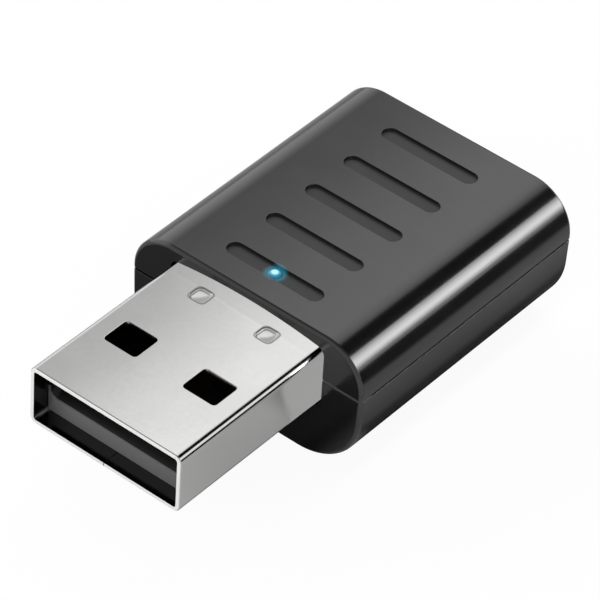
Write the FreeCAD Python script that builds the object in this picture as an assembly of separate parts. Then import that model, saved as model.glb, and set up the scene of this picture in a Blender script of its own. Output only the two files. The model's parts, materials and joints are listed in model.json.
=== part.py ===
import FreeCAD, Part
import math
import os

from FreeCAD import Vector

# A short radio adapter for a computer's USB port, in millimetres.
# X runs across it, +Y from the plug's tip to the housing's rear, +Z up.
# The origin is under the middle of the adapter, on the surface that it lies on.

# Plug: outside size of the standard-A pattern
plug_width = 12.0
plug_height = 4.5
plug_reach = 13.0               # from the housing's front face out to the tip
plug_lift = 4.4                 # underside of the plug above the surface
sheet = 0.3                     # steel sheet of the shell
bend_inside = 0.2               # inside radius of the shell's four bends
mouth_bevel = 0.08              # bevel round the mouth's outer edge
tube_in_housing = 1.4           # closed part of the shell behind the housing's front face

# Slit on the underside where the sheet's edges meet, with a dovetail key
seam_slit = 0.06
key_setback = 8.6               # middle of the key from the tip
key_neck = 1.6
key_depth = 1.1
key_flare = 0.35

# Windows for the socket's springs, two above and two below
window_width = 2.6
window_length = 2.2
window_spacing = 6.3
window_setback = 5.9            # middle of the windows from the tip
window_corner = 0.25

# Dimples pressed into the upper face to hold the insulator
dimple_size = 1.4
dimple_corner = 0.4
dimple_depth = 0.15
dimple_taper = 0.18
dimple_spacing = 5.3
dimple_setback = 11.8           # middle of the dimples from the tip

# Ears behind the tube, and the legs that pass through the board
ear_length = 2.4
leg_width = 1.6
leg_below_board = 0.7
leg_point = 0.3                 # bevel at each corner of a leg's tip

# Insulator: a tongue with a full-height block behind it
tongue_height = 1.95
tongue_setback = 1.3            # the tongue's front face from the tip
block_setback = 9.6             # the block's front face from the tip
block_past_tube = 0.1
insulator_fit = 0.03            # clearance to the shell and round the contacts
nose_face = 1.1                 # height of the tongue's front face
nose_run = 1.2                  # length of the lead-in scooped out behind that face
cheek = 0.15                    # rail left standing on each side of the scoop
scoop_corner = 0.5

# Contacts: strips in the tongue that turn down to the board
contact_width = 1.0
contact_thickness = 0.2
outer_spacing = 7.0             # between power and ground
inner_spacing = 2.0             # between the two data contacts
power_setback = 2.6             # the outer pair makes contact first
data_setback = 3.6
contact_bend = 0.2              # inside radius where a contact turns down, from the block's rear
tail_width = 0.5
tail_below_board = 0.6
tail_shoulder = 0.35            # where the strip narrows, above the board

# Housing: an upper and a lower shell
housing_width = 18.5
housing_length = 21.0
cover_over_plug = 1.1           # top of the housing above the top of the plug
split_up_plug = 2.1             # parting plane above the underside of the plug
top_radius = 3.15
bottom_radius = 4.7
side_draft = 1.75               # degrees, below the parting plane
wall = 1.0
end_wall = 1.2
edge_round = 0.3                # along the front and rear outlines
line_bevel = 0.1                # each side of the parting line
plug_gap = 0.15                 # between the plug and the housing's opening
arch_rise = 0.4                 # rise of the opening's upper edge in its middle

# Lip of the lower shell that enters the upper one, with its snap beads
lip_height = 0.8
lip_thickness = 0.45
lip_gap = 0.05
bead_length = 2.6
bead_height = 0.4
bead_reach = 0.2                # how far a bead's ridge stands out of the lip
bead_spacing = 10.0
bead_gap = 0.04

# Grip: plain round-ended grooves across the top
groove_count = 5
groove_width = 1.2
groove_length = 7.5
groove_depth = 0.2
groove_pitch = 3.8

# Light pipe in the first groove
light_setback = 2.6             # middle of the light from the housing's front face
pipe_radius = 0.5
pipe_fit = 0.03
pipe_dome = 0.18
pipe_body_radius = 0.6
pipe_flange_radius = 1.0
pipe_flange = 0.5
pipe_above_led = 0.3

# Board, held at its front edge, on ledges and on two posts
board_thickness = 0.8
board_side_gap = 0.65           # to the inner face of the side walls
board_rear_gap = 1.0
board_in_wall = 0.6             # how far the board's front edge enters the front wall
board_corner = 0.8
board_fit = 0.05
hole_fit = 0.08                 # round the pins, legs and tails that pass through the board

# Ribs, ledges, posts and bosses inside the housing
rib = 0.8
rib_reach = 0.5                 # over the edge of the board
rib_side_gap = 0.15
ledge_spacing = 6.0
stop_reach = 0.7                # stop ribs, to each side of the ear behind which they stand
stop_gap = 0.1
stop_above_board = 2.2
post_radius = 1.1
pin_radius = 0.55
pin_above_board = 0.9
boss_radius = 1.3
pin_fit = 0.05
post_from_side = 2.0            # from the board's long edge
post_from_rear = 1.8            # from its rear edge

# Parts on the board: length along X, width along Y, height
led_size = (1.6, 0.8, 0.6)
led_base = 0.25                 # height of the lamp's base
led_lens = 1.04                 # length of its clear lens
radio_size = (4.0, 4.0, 0.85)
first_pad_mark = 0.3            # radius of the mark beside the radio's first pad
first_pad_depth = 0.08
memory_body = (3.0, 3.0, 0.95)
memory_span = 4.6               # over the leads
memory_leads = 4                # on each side
memory_pitch = 0.65
memory_lead = 0.3               # width of a lead
small_outline_body = (1.6, 2.9, 1.1)
small_outline_span = 2.8
small_outline_pitch = 0.95
small_outline_lead = 0.4
lead_thickness = 0.15
lead_foot = 0.45
crystal_size = (3.2, 2.5, 0.8)
crystal_base = 0.48             # height of its ceramic base
crystal_rim = 0.28              # round its metal lid
ferrite_size = (1.25, 2.0, 0.9)
ferrite_terminal = 0.4          # length of each plated end
bulk_size = (1.6, 3.2, 1.4)
bulk_terminal = 0.65
antenna_size = (2.0, 5.0, 1.0)
antenna_terminal = 0.6
capacitor_size = (0.5, 1.0, 0.5)
resistor_size = (0.5, 1.0, 0.35)
passive_terminal = 0.22
passive_count = 4               # in a row as wide as the radio
terminal_proud = 0.03
solder_spread = 0.3             # round a tail or leg, at the board
solder_tip = 0.08               # round a tail or leg, at the joint's tip
solder_height = 0.4
front_row_gap = 0.5             # behind the ears
rear_row_gap = 0.4

past = 1.0                      # cutters run this far past the face that they open
same_place = 1e-5               # edges closer than this to a plane lie in it

# Levels and places that follow from the sizes
tip_y = -(plug_reach + housing_length) / 2
front_y = tip_y + plug_reach
rear_y = front_y + housing_length
plug_top = plug_lift + plug_height
housing_top = plug_top + cover_over_plug
split_z = plug_lift + split_up_plug
half_width = housing_width / 2
bend_outside = bend_inside + sheet
tube_end = front_y + tube_in_housing
ear_end = tube_end + ear_length
shell_floor = plug_lift + sheet
tongue_top = shell_floor + tongue_height
inside_half = plug_width / 2 - sheet
block_end = tube_end + block_past_tube
tail_y = block_end + contact_bend + contact_thickness / 2
ceiling = housing_top - wall
board_top = plug_lift
board_base = board_top - board_thickness
board_half = half_width - wall - board_side_gap
board_front = front_y + end_wall - board_in_wall
board_rear = rear_y - end_wall - board_rear_gap
light_y = front_y + light_setback
post_x = board_half - post_from_side
post_y = board_rear - post_from_rear
contacts = (
    ("power_contact", outer_spacing / 2, power_setback),
    ("data_minus_contact", inner_spacing / 2, data_setback),
    ("data_plus_contact", -inner_spacing / 2, data_setback),
    ("ground_contact", -outer_spacing / 2, power_setback),
)


def box(x0, x1, y0, y1, z0, z1):
    """Block between two opposite corners."""
    return Part.makeBox(x1 - x0, y1 - y0, z1 - z0, Vector(x0, y0, z0))


def upright(x, y, radius, z0, z1):
    """Vertical cylinder."""
    return Part.makeCylinder(radius, z1 - z0, Vector(x, y, z0))


def polar(u, v, radius, degrees):
    """Point on a circle about (u, v)."""
    angle = math.radians(degrees)
    return u + radius * math.cos(angle), v + radius * math.sin(angle)


def outline(stretches, to_space):
    """Closed face from stretches of two points, a line, or three points, an arc."""
    edges = []
    for stretch in stretches:
        points = [to_space(u, v) for u, v in stretch]
        if len(points) == 2:
            edges.append(Part.LineSegment(*points).toShape())
        else:
            edges.append(Part.Arc(*points).toShape())
    return Part.Face(Part.Wire(edges))


def corner(u, v, radius, start, end):
    """Arc about (u, v) as its first, middle and last points."""
    return [polar(u, v, radius, turn) for turn in (start, (start + end) / 2, end)]


def rounded_face(u0, u1, v0, v1, radius, to_space):
    """Rectangle with four round corners."""
    arcs = [
        corner(u1 - radius, v0 + radius, radius, 270, 360),
        corner(u1 - radius, v1 - radius, radius, 0, 90),
        corner(u0 + radius, v1 - radius, radius, 90, 180),
        corner(u0 + radius, v0 + radius, radius, 180, 270),
    ]
    stretches = []
    for arc, following in zip(arcs, arcs[1:] + arcs[:1]):
        stretches.append(arc)
        stretches.append([arc[-1], following[0]])
    return outline(stretches, to_space)


def across(y):
    """Places a section drawn in X and Z at a distance along Y."""
    return lambda u, v: Vector(u, y, v)


def level(z):
    """Places a section drawn in X and Y at a height."""
    return lambda u, v: Vector(u, v, z)


def slot_at(x, y, length, width, z0, z1, radius):
    """Upright prism with a round-cornered plan."""
    plan = rounded_face(x - length / 2, x + length / 2, y - width / 2, y + width / 2, radius, level(z0))
    return plan.extrude(Vector(0, 0, z1 - z0))


def round_ended(x, y, length, width, z0, z1):
    """Upright prism whose plan has half-round ends along X."""
    radius = width / 2
    reach = length / 2 - radius
    right = corner(x + reach, y, radius, -90, 90)
    left = corner(x - reach, y, radius, 90, 270)
    plan = outline([right, [right[-1], left[0]], left, [left[-1], right[0]]], level(z0))
    return plan.extrude(Vector(0, 0, z1 - z0))


def in_plane(edge, axis, place):
    """True for an edge that lies flat at one place along an axis."""
    bounds = edge.BoundBox
    low, high = (bounds.YMin, bounds.YMax) if axis == "y" else (bounds.ZMin, bounds.ZMax)
    return abs(low - place) < same_place and abs(high - place) < same_place


# Housing


def upper_section(inset, y):
    """Section above the parting plane, drawn in by a wall."""
    half = half_width - inset
    roof = housing_top - inset
    radius = top_radius - inset
    left = corner(-half + radius, roof - radius, radius, 180, 90)
    right = corner(half - radius, roof - radius, radius, 90, 0)
    return outline([
        [(-half, split_z), left[0]],
        left,
        [left[-1], right[0]],
        right,
        [right[-1], (half, split_z)],
        [(half, split_z), (-half, split_z)],
    ], across(y))


def lower_section(inset, y):
    """Section below the parting plane, with drafted sides and large bottom corners."""
    half = half_width - inset
    radius = bottom_radius - inset
    middle = inset + radius
    draft = math.radians(side_draft)
    reach = half - (radius + (split_z - middle) * math.sin(draft)) / math.cos(draft)
    right = corner(reach, middle, radius, -side_draft, -90)
    left = corner(-reach, middle, radius, -90, side_draft - 180)
    return outline([
        [(half, split_z), right[0]],
        right,
        [right[-1], left[0]],
        left,
        [left[-1], (-half, split_z)],
        [(-half, split_z), (half, split_z)],
    ], across(y))


def outer_block(section):
    """Solid outside form of one shell, with its edges rounded and its parting edge bevelled."""
    block = section(0, front_y).extrude(Vector(0, housing_length, 0))
    ends = [
        edge for edge in block.Edges
        if (in_plane(edge, "y", front_y) or in_plane(edge, "y", rear_y)) and not in_plane(edge, "z", split_z)
    ]
    block = block.makeFillet(edge_round, ends)
    parting = [edge for edge in block.Edges if in_plane(edge, "z", split_z)]
    return block.makeChamfer(line_bevel, parting)


def cavity(section):
    """Room inside one shell."""
    return section(wall, front_y + end_wall).extrude(Vector(0, housing_length - 2 * end_wall, 0))


def rooted(section):
    """Form that ends in the middle of one shell's walls, in which its ribs and bosses are rooted."""
    return section(wall / 2, front_y + end_wall / 2).extrude(Vector(0, housing_length - end_wall, 0))


def plug_opening():
    """Opening for the plug, with an arched upper edge, run on over the tube's inner end."""
    half = plug_width / 2 + plug_gap
    low = plug_lift - plug_gap
    high = plug_top + plug_gap
    radius = bend_outside + plug_gap
    right_low = corner(half - radius, low + radius, radius, -90, 0)
    right_high = corner(half - radius, high - radius, radius, 0, 90)
    left_high = corner(-half + radius, high - radius, radius, 90, 180)
    left_low = corner(-half + radius, low + radius, radius, 180, 270)
    face = outline([
        right_low,
        [right_low[-1], right_high[0]],
        right_high,
        [right_high[-1], (0, high + arch_rise), left_high[0]],
        left_high,
        [left_high[-1], left_low[0]],
        left_low,
        [left_low[-1], right_low[0]],
    ], across(front_y - past))
    return face.extrude(Vector(0, past + tube_in_housing + board_fit, 0))


def plan_block(side_inset, end_inset, z0, z1):
    """Block that follows the housing's plan, drawn in at the sides and the ends."""
    half = half_width - side_inset
    return box(-half, half, front_y + end_inset, rear_y - end_inset, z0, z1)


def lip_ring(gap):
    """Ring of the lip, grown outwards and upwards by a gap for the seat that takes it."""
    grown = lip_thickness + gap
    ring = plan_block(wall - grown, end_wall - grown, split_z, split_z + lip_height + gap)
    return ring.cut(plan_block(wall, end_wall, split_z, split_z + lip_height + gap))


def snap_beads(gap):
    """Ridged beads along the lip's outer faces, grown by a gap for the pockets that take them."""
    beads = []
    length = bead_length + 2 * gap
    half = bead_height / 2 + gap
    middle = split_z + lip_height / 2
    for side in (-1, 1):
        for row in (-1, 1):
            x = side * (half_width - wall + lip_thickness)
            y = (front_y + rear_y + row * bead_spacing - length) / 2
            ridge = (x + side * (bead_reach + gap), middle)
            profile = [(x, middle - half), ridge, (x, middle + half)]
            stretches = list(zip(profile, profile[1:] + profile[:1]))
            beads.append(outline(stretches, across(y)).extrude(Vector(0, length, 0)))
    return beads


def ledge_rows():
    """Places along Y of the ribs that carry the board's long edges."""
    middle = (board_front + board_rear) / 2
    return (middle - ledge_spacing / 2, middle + ledge_spacing / 2)


def post_places():
    """Places of the two posts behind the electronics."""
    return ((-post_x, post_y), (post_x, post_y))


def grip_grooves():
    """Round-ended grooves across the top, the first one round the light."""
    return [
        round_ended(0, light_y + row * groove_pitch, groove_length, groove_width,
                    housing_top - groove_depth, housing_top + past)
        for row in range(groove_count)
    ]


def upper_housing():
    """Upper shell: roof, grip, bosses and ribs that hold the board down."""
    shell = outer_block(upper_section).cut(cavity(upper_section))
    shell = shell.cut([plug_opening(), lip_ring(lip_gap)] + snap_beads(bead_gap))
    fittings = []
    inner_half = half_width - wall - rib_side_gap
    for y in ledge_rows():
        for side in (-1, 1):
            x0, x1 = sorted((side * (board_half - rib_reach), side * inner_half))
            fittings.append(box(x0, x1, y - rib / 2, y + rib / 2, board_top, housing_top))
    for side in (-1, 1):
        ear_x = side * (plug_width - sheet) / 2
        stop_y = ear_end + stop_gap
        fittings.append(box(ear_x - stop_reach, ear_x + stop_reach, stop_y, stop_y + rib,
                            board_top + stop_above_board, housing_top))
    for x, y in post_places():
        fittings.append(upright(x, y, boss_radius, board_top, housing_top))
    within = rooted(upper_section).fuse(plan_block(wall, end_wall, board_top, split_z))
    shell = shell.fuse([fitting.common(within) for fitting in fittings])
    sockets = [
        upright(x, y, pin_radius + pin_fit, board_top - past, board_top + pin_above_board + pin_fit)
        for x, y in post_places()
    ]
    light_hole = upright(0, light_y, pipe_radius + pipe_fit, ceiling - past, housing_top + past)
    return shell.cut(grip_grooves() + sockets + [light_hole]).removeSplitter()


def lower_housing():
    """Lower shell: floor, posts, ledges and the slot for the board's front edge."""
    shell = outer_block(lower_section).cut(cavity(lower_section))
    fittings = []
    for y in ledge_rows():
        for side in (-1, 1):
            x0, x1 = sorted((side * (board_half - rib_reach), side * half_width))
            fittings.append(box(x0, x1, y - rib / 2, y + rib / 2, 0, board_base))
    for x, y in post_places():
        fittings.append(upright(x, y, post_radius, 0, board_base))
        fittings.append(upright(x, y, pin_radius, 0, board_top + pin_above_board))
    within = rooted(lower_section)
    shell = shell.fuse([fitting.common(within) for fitting in fittings])
    shell = shell.fuse([lip_ring(0)] + snap_beads(0))
    board_slot = box(-board_half - board_fit, board_half + board_fit,
                     board_front - board_fit, front_y + end_wall + board_fit,
                     board_base, board_top + board_fit)
    return shell.cut([plug_opening(), board_slot]).removeSplitter()


def light_pipe():
    """Clear pin with a flange under the roof and a low dome in the first groove."""
    foot = board_top + led_size[2] + pipe_above_led
    groove_floor = housing_top - groove_depth
    pipe = upright(0, light_y, pipe_body_radius, foot, ceiling)
    pipe = pipe.fuse(upright(0, light_y, pipe_flange_radius, ceiling - pipe_flange, ceiling))
    pipe = pipe.fuse(upright(0, light_y, pipe_radius, ceiling - pipe_flange, groove_floor))
    ball_radius = (pipe_radius ** 2 + pipe_dome ** 2) / (2 * pipe_dome)
    ball = Part.makeSphere(ball_radius, Vector(0, light_y, groove_floor + pipe_dome - ball_radius))
    dome = ball.common(upright(0, light_y, pipe_radius, groove_floor, groove_floor + past))
    return pipe.fuse(dome).removeSplitter()


# Plug


def shell_tube():
    """Closed tube of the folded sheet with its bevelled mouth."""
    half = plug_width / 2
    length = tube_end - tip_y
    outside = rounded_face(-half, half, plug_lift, plug_top, bend_outside, across(tip_y))
    inside = rounded_face(-half + sheet, half - sheet, plug_lift + sheet, plug_top - sheet,
                          bend_inside, across(tip_y - past))
    body = outside.extrude(Vector(0, length, 0))
    mouth = [edge for edge in body.Edges if in_plane(edge, "y", tip_y)]
    body = body.makeChamfer(mouth_bevel, mouth)
    return body.cut(inside.extrude(Vector(0, length + 2 * past, 0)))


def seam_cut():
    """Slit along the underside that jogs round the dovetail key."""
    key_y = tip_y + key_setback
    neck = key_neck / 2
    line = [
        (0, tip_y - past),
        (0, key_y - neck),
        (key_depth, key_y - neck - key_flare),
        (key_depth, key_y + neck + key_flare),
        (0, key_y + neck),
        (0, tube_end + past),
    ]
    runs = []
    for (x0, y0), (x1, y1) in zip(line, line[1:]):
        length = math.hypot(x1 - x0, y1 - y0)
        run = box(-seam_slit / 2, length + seam_slit / 2, -seam_slit / 2, seam_slit / 2, -past, sheet + past)
        run.rotate(Vector(0, 0, 0), Vector(0, 0, 1), math.degrees(math.atan2(y1 - y0, x1 - x0)))
        run.translate(Vector(x0, y0, plug_lift))
        runs.append(run)
    return runs


def windows():
    """Spring windows, the two above right over the two below."""
    return [
        slot_at(side * window_spacing / 2, tip_y + window_setback, window_width, window_length,
                plug_lift - past, plug_top + past, window_corner)
        for side in (-1, 1)
    ]


def dimple_form(x, top, gap):
    """Tapered pad that goes down from a level, grown by a gap."""
    y = tip_y + dimple_setback
    wide = dimple_size / 2 + gap
    narrow = wide - dimple_taper
    rim = rounded_face(x - wide, x + wide, y - wide, y + wide, dimple_corner, level(top))
    pad = rounded_face(x - narrow, x + narrow, y - narrow, y + narrow, dimple_corner - dimple_taper,
                       level(top - dimple_depth - gap))
    return Part.makeLoft([rim.OuterWire, pad.OuterWire], True, True)


def dimple_places():
    """Places of the dimples across the plug."""
    return (-dimple_spacing / 2, dimple_spacing / 2)


def ear(side):
    """Side wall that runs on behind the tube, with its leg through the board."""
    x0, x1 = sorted((side * plug_width / 2, side * inside_half))
    plate = box(x0, x1, tube_end, ear_end, plug_lift + bend_outside, plug_top - bend_outside)
    tip_z = board_base - leg_below_board
    leg = box(x0, x1, ear_end - leg_width, ear_end, tip_z, plug_lift + bend_outside)
    points = [edge for edge in leg.Edges
              if in_plane(edge, "z", tip_z) and abs(edge.BoundBox.XLength - sheet) < same_place]
    return plate.fuse(leg.makeChamfer(leg_point, points))


def usb_shell():
    """Folded shell: tube, seam, windows, dimples, ears and legs."""
    shell = shell_tube()
    shell = shell.fuse([ear(-1), ear(1)])
    shell = shell.fuse([dimple_form(x, plug_top - sheet, 0) for x in dimple_places()])
    pockets = [dimple_form(x, plug_top, 0) for x in dimple_places()]
    return shell.cut(seam_cut() + windows() + pockets).removeSplitter()


def usb_insulator():
    """Moulded tongue and block, with channels for the contacts and a scooped nose."""
    half = inside_half - insulator_fit
    top = plug_top - sheet - insulator_fit
    front = tip_y + tongue_setback
    block_front = tip_y + block_setback
    section = rounded_face(-half, half, shell_floor, top, bend_inside, across(front))
    body = section.extrude(Vector(0, block_end - front, 0))
    body = body.cut(box(-half - past, half + past, front - past, block_front, tongue_top, top + past))
    slope = (tongue_height - nose_face) / nose_run
    trough = rounded_face(-half + cheek, half - cheek, shell_floor + nose_face - past * slope, top + past,
                          scoop_corner, across(front - past))
    scoop = trough.extrude(Vector(0, past + nose_run, (past + nose_run) * slope))
    channels = []
    for name, x, setback in contacts:
        wide = contact_width / 2 + insulator_fit
        channels.append(box(x - wide, x + wide, tip_y + setback - insulator_fit, block_end + past,
                            tongue_top - contact_thickness, tongue_top + insulator_fit))
    pockets = [dimple_form(x, plug_top - sheet, insulator_fit) for x in dimple_places()]
    return body.cut([scoop] + channels + pockets).removeSplitter()


def contact(x, setback):
    """Strip that lies in its channel, turns down behind the block and ends in a narrow tail."""
    front = tip_y + setback
    back = tail_y + contact_thickness / 2
    outer = contact_bend + contact_thickness
    turn_y = back - outer
    turn_z = tongue_top - outer
    tip_z = board_base - tail_below_board
    lead = contact_thickness / 2
    crest = corner(turn_y, turn_z, outer, 90, 0)
    crook = corner(turn_y, turn_z, contact_bend, 0, 90)
    face = outline([
        [(front, tongue_top - lead), (front + lead, tongue_top)],
        [(front + lead, tongue_top), crest[0]],
        crest,
        [crest[-1], (back, tip_z)],
        [(back, tip_z), (back - contact_thickness, tip_z)],
        [(back - contact_thickness, tip_z), crook[0]],
        crook,
        [crook[-1], (front, tongue_top - contact_thickness)],
        [(front, tongue_top - contact_thickness), (front, tongue_top - lead)],
    ], lambda u, v: Vector(x - contact_width / 2, u, v))
    strip = face.extrude(Vector(contact_width, 0, 0))
    shoulder = board_top + tail_shoulder
    for side in (-1, 1):
        x0, x1 = sorted((x + side * tail_width / 2, x + side * (contact_width / 2 + past)))
        strip = strip.cut(box(x0, x1, back - contact_thickness - past, back + past, tip_z - past, shoulder))
    return strip


# Board and what is soldered to it


def circuit_board():
    """Glass-fibre board with its slots and holes."""
    plan = slot_at(0, (board_front + board_rear) / 2, 2 * board_half, board_rear - board_front,
                   board_base, board_top, board_corner)
    low = board_base - past
    high = board_top + past
    holes = [upright(x, y, pin_radius + hole_fit, low, high) for x, y in post_places()]
    tail_hole = math.hypot(tail_width, contact_thickness) / 2 + hole_fit
    holes += [upright(x, tail_y, tail_hole, low, high) for name, x, setback in contacts]
    for side in (-1, 1):
        x0, x1 = sorted((side * (plug_width / 2 + hole_fit), side * (inside_half - hole_fit)))
        holes.append(box(x0, x1, ear_end - leg_width - hole_fit, ear_end + hole_fit, low, high))
    return plan.cut(holes)


def on_board(x, y, size):
    """Plain block of a given size that stands on the board."""
    length, width, height = size
    return box(x - length / 2, x + length / 2, y - width / 2, y + width / 2, board_top, board_top + height)


def spread(lengths, start, end):
    """Middles of a row of lengths laid out with equal gaps between two ends."""
    gap = (end - start - sum(lengths)) / (len(lengths) + 1)
    middles = []
    place = start
    for length in lengths:
        place += gap
        middles.append(place + length / 2)
        place += length
    return middles


def two_ended(x, y, size, terminal):
    """Chip with its length along Y and plated ends that stand a little proud."""
    width, length, height = size
    body = on_board(x, y, (width, length, height - terminal_proud))
    ends = [
        on_board(x, y + side * (length - terminal) / 2, (width + 2 * terminal_proud, terminal, height))
        for side in (-1, 1)
    ]
    return body.fuse(ends).removeSplitter()


def turned(x, y, size, terminal):
    """The same chip with its length along X."""
    chip = two_ended(0, 0, size, terminal)
    chip.rotate(Vector(0, 0, 0), Vector(0, 0, 1), 90)
    chip.translate(Vector(x, y, 0))
    return chip


def gull_wing(span, height, width):
    """Lead that leaves a package towards +X, steps down and ends in a flat foot."""
    half = span / 2
    knee = half - lead_foot
    middle = height / 2
    profile = [
        (0, middle),
        (knee, middle),
        (knee, lead_thickness),
        (half, lead_thickness),
        (half, 0),
        (knee - lead_thickness, 0),
        (knee - lead_thickness, middle - lead_thickness),
        (0, middle - lead_thickness),
    ]
    points = [Vector(u, -width / 2, board_top + v) for u, v in profile + profile[:1]]
    return Part.Face(Part.makePolygon(points)).extrude(Vector(0, width, 0))


def leaded_package(x, y, body_size, span, width, right, left, turn):
    """Moulded package with leads at offsets on its right and left sides, turned in plan."""
    package = on_board(0, 0, body_size)
    package.translate(Vector(0, 0, lead_thickness))
    leads = []
    for offsets, half_turn in ((right, 0), (left, 180)):
        for offset in offsets:
            lead = gull_wing(span, body_size[2], width)
            lead.rotate(Vector(0, 0, 0), Vector(0, 0, 1), half_turn)
            lead.translate(Vector(0, offset, 0))
            leads.append(lead)
    package = package.fuse(leads).removeSplitter()
    package.rotate(Vector(0, 0, 0), Vector(0, 0, 1), turn)
    package.translate(Vector(x, y, 0))
    return package


def small_outline(x, y, right, left):
    """Small package with up to three leads a side, at -1, 0 and 1 pitches."""
    return leaded_package(x, y, small_outline_body, small_outline_span, small_outline_lead,
                          [place * small_outline_pitch for place in right],
                          [place * small_outline_pitch for place in left], 0)


def memory_chip(x, y):
    """Package with four leads on each of the sides that face the plug and the rear."""
    places = [(index - (memory_leads - 1) / 2) * memory_pitch for index in range(memory_leads)]
    return leaded_package(x, y, memory_body, memory_span, memory_lead, places, places, 90)


def radio_chip(x, y):
    """Flat leadless package with a mark for its first pad."""
    chip = on_board(x, y, radio_size)
    top = board_top + radio_size[2]
    inset = radio_size[0] / 2 - 2 * first_pad_mark
    return chip.cut(upright(x - inset, y + inset, first_pad_mark, top - first_pad_depth, top + past))


def crystal(x, y):
    """Ceramic base with a narrower metal lid."""
    length, width, height = crystal_size
    base = on_board(x, y, (length, width, crystal_base))
    lid = on_board(x, y, (length - 2 * crystal_rim, width - 2 * crystal_rim, height))
    return base.fuse(lid).removeSplitter()


def status_led():
    """Small lamp: a base with a narrower clear lens."""
    length, width, height = led_size
    base = on_board(0, light_y, (length, width, led_base))
    return base.fuse(on_board(0, light_y, (led_lens, width, height))).removeSplitter()


def passive_row(y, size):
    """Row of small chips in front of or behind the radio."""
    half = radio_size[0] / 2
    return Part.Compound([
        two_ended(x, y, size, passive_terminal)
        for x in spread([size[0]] * passive_count, -half, half)
    ])


def ferrite_bead():
    """Bead between the lamp and the power contact's side of the plug, level with the lamp."""
    x = (led_size[0] / 2 + inside_half) / 2
    y = light_y - led_size[1] / 2 + ferrite_size[1] / 2
    return two_ended(x, y, ferrite_size, ferrite_terminal)


def solder_joint(x, y, length, width):
    """Solder under the board that slopes up to a tail or leg of a given section."""
    rings = []
    for reach, z in ((solder_spread, board_base), (solder_tip, board_base - solder_height)):
        across_x = length / 2 + reach
        along_y = width / 2 + reach
        corners = [(-across_x, -along_y), (across_x, -along_y), (across_x, along_y), (-across_x, along_y)]
        points = [Vector(x + u, y + v, z) for u, v in corners]
        rings.append(Part.makePolygon(points + points[:1]))
    slope = Part.makeLoft(rings, True, True)
    return slope.cut(box(x - length / 2, x + length / 2, y - width / 2, y + width / 2,
                         board_base - past, board_base + past))


def solder_joints():
    """Joints of the contacts' tails and of the shell's legs."""
    joints = [solder_joint(x, tail_y, tail_width, contact_thickness) for name, x, setback in contacts]
    for side in (-1, 1):
        joints.append(solder_joint(side * (plug_width - sheet) / 2, ear_end - leg_width / 2, sheet, leg_width))
    return Part.Compound(joints)


def electronics():
    """Everything on the board, laid out in three columns behind the plug."""
    column = max(small_outline_span, bulk_size[1], memory_body[0], crystal_size[0])
    clear_half = board_half - rib_reach
    column_x = spread([column, radio_size[0], column], -clear_half, clear_half)[-1]
    start = ear_end + front_row_gap
    rear = post_y - boss_radius - rear_row_gap
    left = spread([small_outline_body[1], small_outline_body[1], bulk_size[0]], start, rear)
    right = spread([memory_span, crystal_size[1]], start, rear)
    middle = spread([capacitor_size[1], radio_size[1], resistor_size[1], antenna_size[0]],
                    light_y + led_size[1] / 2, board_rear)
    return {
        "surge_protector": small_outline(-column_x, left[0], (-1, 0, 1), (-1, 0, 1)),
        "voltage_regulator": small_outline(-column_x, left[1], (-1, 1), (-1, 0, 1)),
        "bulk_capacitor": turned(-column_x, left[2], bulk_size, bulk_terminal),
        "memory_chip": memory_chip(column_x, right[0]),
        "crystal": crystal(column_x, right[1]),
        "ceramic_capacitors": passive_row(middle[0], capacitor_size),
        "radio_chip": radio_chip(0, middle[1]),
        "resistors": passive_row(middle[2], resistor_size),
        "chip_antenna": turned(0, middle[3], antenna_size, antenna_terminal),
        "ferrite_bead": ferrite_bead(),
        "status_led": status_led(),
        "solder_joints": solder_joints(),
    }


def pieces():
    """All pieces of the adapter by name."""
    made = {
        "upper_housing": upper_housing(),
        "lower_housing": lower_housing(),
        "light_pipe": light_pipe(),
        "usb_shell": usb_shell(),
        "usb_insulator": usb_insulator(),
        "circuit_board": circuit_board(),
    }
    for name, x, setback in contacts:
        made[name] = contact(x, setback)
    made.update(electronics())
    return made


os.makedirs("parts", exist_ok=True)
for name, shape in pieces().items():
    shape.exportStep("parts/" + name + ".step")
    print(name, "solids", len(shape.Solids), "volume", round(shape.Volume, 3), "valid", shape.isValid())
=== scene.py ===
# %% [markdown]
# # A short radio adapter for a computer's port
# The object is a folded steel plug in a black housing of two moulded shells. The CAD model gives
# every size and place. This lesson adds what the eye sees: rounded edges, satin plastic, plated
# steel, the lit window and a small photo studio.

# %% Load the frame
import json
import math

import bmesh
import bpy
from mathutils import Matrix, Vector


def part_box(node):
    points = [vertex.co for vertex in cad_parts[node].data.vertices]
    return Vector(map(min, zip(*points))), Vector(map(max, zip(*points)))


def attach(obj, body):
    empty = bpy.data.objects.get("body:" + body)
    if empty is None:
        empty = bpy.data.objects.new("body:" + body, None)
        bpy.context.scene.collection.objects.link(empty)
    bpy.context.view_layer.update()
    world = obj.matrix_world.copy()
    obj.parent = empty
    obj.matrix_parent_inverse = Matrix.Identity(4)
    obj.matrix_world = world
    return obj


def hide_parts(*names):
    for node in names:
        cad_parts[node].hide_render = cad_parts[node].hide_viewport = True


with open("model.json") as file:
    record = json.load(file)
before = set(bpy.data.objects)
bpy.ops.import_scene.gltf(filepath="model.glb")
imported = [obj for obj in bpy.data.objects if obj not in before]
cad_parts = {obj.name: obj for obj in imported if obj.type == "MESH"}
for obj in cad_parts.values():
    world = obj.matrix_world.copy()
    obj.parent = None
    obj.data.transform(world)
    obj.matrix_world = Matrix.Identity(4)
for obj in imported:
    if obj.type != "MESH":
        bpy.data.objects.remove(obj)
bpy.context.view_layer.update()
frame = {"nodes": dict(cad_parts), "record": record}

nodes = frame["nodes"]
print("CAD nodes:", len(nodes))

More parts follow.
